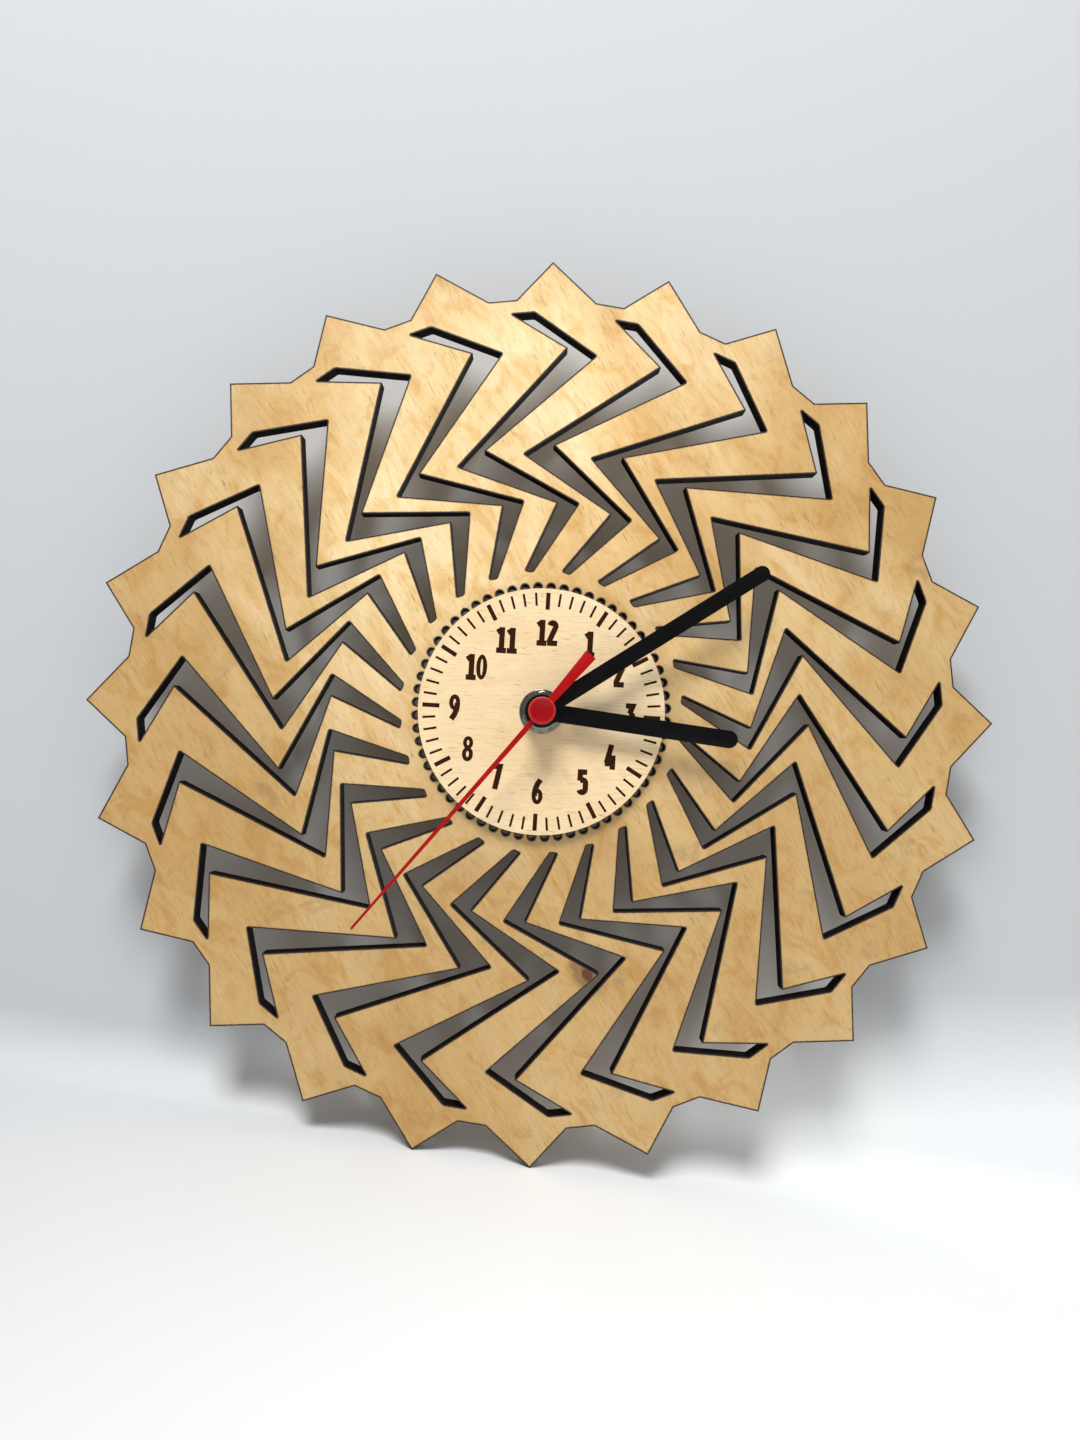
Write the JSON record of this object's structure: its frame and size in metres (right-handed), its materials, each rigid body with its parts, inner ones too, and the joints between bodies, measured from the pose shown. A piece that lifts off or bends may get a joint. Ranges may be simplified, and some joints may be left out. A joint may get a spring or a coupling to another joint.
{
  "type": "wooden wall clock",
  "caption": "Round toothed fretwork plywood wall clock with a raised dial, baton hands, a red second hand and a quartz movement with a geared hand drive.",
  "frame": {"origin": "on the hands' axis, in the plane of the wall, which is the back face of the movement", "axes": "+Z to twelve o'clock, +X to three o'clock, +Y from the dial back to the wall"},
  "size_m": [0.2998, 0.0395, 0.2998],
  "materials": {
    "plywood": "birch plywood, laser cut, clear satin",
    "dial_plywood": "pale birch plywood, clear satin",
    "bright_nickel": "bright nickel plate",
    "bushing_brass": "turned brass",
    "hand_black": "black paint on aluminium",
    "hand_red": "red paint on aluminium",
    "cap_red": "gloss",
    "case_black": "moulded, fine spark texture",
    "hanger_black": "moulded",
    "gasket_rubber": "matte",
    "wheel_white": "moulded acetal",
    "wheel_blue": "moulded acetal",
    "wheel_yellow": "moulded acetal",
    "knob_grey": "moulded",
    "frame_natural": "moulded",
    "magnet_grey": "sintered and plated",
    "soft_iron": "stamped",
    "bobbin_plastic": "moulded",
    "copper_wire": "enamelled copper wire",
    "board_green": "solder mask",
    "chip_resin": "drop of resin",
    "crystal_can": "drawn metal can",
    "contact_spring": "nickel plated spring strip",
    "battery_sleeve": "plain wrapped can",
    "battery_steel": "bright"
  },
  "bodies": {
    "clock_body": {"gear_plate": "plywood", "dial_disc": "dial_plywood", "rubber_gasket": "gasket_rubber", "nut_washer": "bright_nickel", "fixing_nut": "bright_nickel", "threaded_bushing": "bushing_brass", "stator": "soft_iron", "coil_core": "soft_iron", "coil_bobbin": "bobbin_plastic", "coil_winding": "copper_wire", "circuit_board": "board_green", "chip_cover": "chip_resin", "quartz_crystal": "crystal_can", "negative_contact": "contact_spring", "positive_contact": "contact_spring", "rear_housing": "case_black", "middle_plate": "frame_natural", "front_cover": "case_black", "hanger_clip": "hanger_black"},
    "second_group": {"second_wheel": "wheel_blue", "second_hand": "hand_red", "second_hand_cap": "cap_red"},
    "minute_group": {"minute_arbor": "bushing_brass", "minute_hand": "hand_black"},
    "hour_group": {"hour_wheel": "wheel_blue", "hour_hand": "hand_black"},
    "centre_group": {"centre_wheel": "wheel_yellow"},
    "third_group": {"third_wheel": "wheel_white"},
    "intermediate_group": {"intermediate_wheel": "wheel_white"},
    "rotor_group": {"rotor_pinion": "wheel_white", "rotor_magnet": "magnet_grey"},
    "minute_work_group": {"minute_work_wheel": "wheel_white"},
    "setting_group": {"setting_arbor": "wheel_white", "setting_knob": "knob_grey"},
    "battery_group": {"battery_can": "battery_sleeve", "battery_cap": "battery_steel"}
  },
  "joints": [
    {"name": "second_spin", "type": "hinge", "parent": "clock_body", "child": "second_group", "pos_m": [0, 0, 0], "axis": [0, 1, 0], "continuous": true},
    {"name": "minute_spin", "type": "hinge", "parent": "clock_body", "child": "minute_group", "pos_m": [0, 0, 0], "axis": [0, 1, 0], "continuous": true},
    {"name": "hour_spin", "type": "hinge", "parent": "clock_body", "child": "hour_group", "pos_m": [0, 0, 0], "axis": [0, 1, 0], "continuous": true},
    {"name": "centre_spin", "type": "hinge", "parent": "clock_body", "child": "centre_group", "pos_m": [0, 0, 0], "axis": [0, 1, 0], "continuous": true},
    {"name": "third_spin", "type": "hinge", "parent": "clock_body", "child": "third_group", "pos_m": [0.01038, 0, 0.00484], "axis": [0, 1, 0], "continuous": true},
    {"name": "intermediate_spin", "type": "hinge", "parent": "clock_body", "child": "intermediate_group", "pos_m": [-0.0068, 0, -0.00317], "axis": [0, 1, 0], "continuous": true},
    {"name": "rotor_spin", "type": "hinge", "parent": "clock_body", "child": "rotor_group", "pos_m": [-0.0136, 0, -0.0015], "axis": [0, 1, 0], "continuous": true},
    {"name": "minute_work_spin", "type": "hinge", "parent": "clock_body", "child": "minute_work_group", "pos_m": [-0.0048, 0, 0.00831], "axis": [0, 1, 0], "continuous": true},
    {"name": "setting_spin", "type": "hinge", "parent": "clock_body", "child": "setting_group", "pos_m": [-0.01311, 0, 0.01311], "axis": [0, 1, 0], "continuous": true},
    {"name": "battery_slide", "type": "slide", "parent": "clock_body", "child": "battery_group", "axis": [0, 1, 0], "range_m": [0, 0.02]}
  ],
  "couplings": [
    {"joint": "intermediate_spin", "follows": "second_spin", "ratio": -5},
    {"joint": "rotor_spin", "follows": "second_spin", "ratio": 30},
    {"joint": "third_spin", "follows": "second_spin", "ratio": -0.13333},
    {"joint": "centre_spin", "follows": "second_spin", "ratio": 0.016667},
    {"joint": "minute_work_spin", "follows": "minute_spin", "ratio": -0.33333},
    {"joint": "hour_spin", "follows": "minute_spin", "ratio": 0.083333},
    {"joint": "setting_spin", "follows": "minute_spin", "ratio": 1}
  ]
}
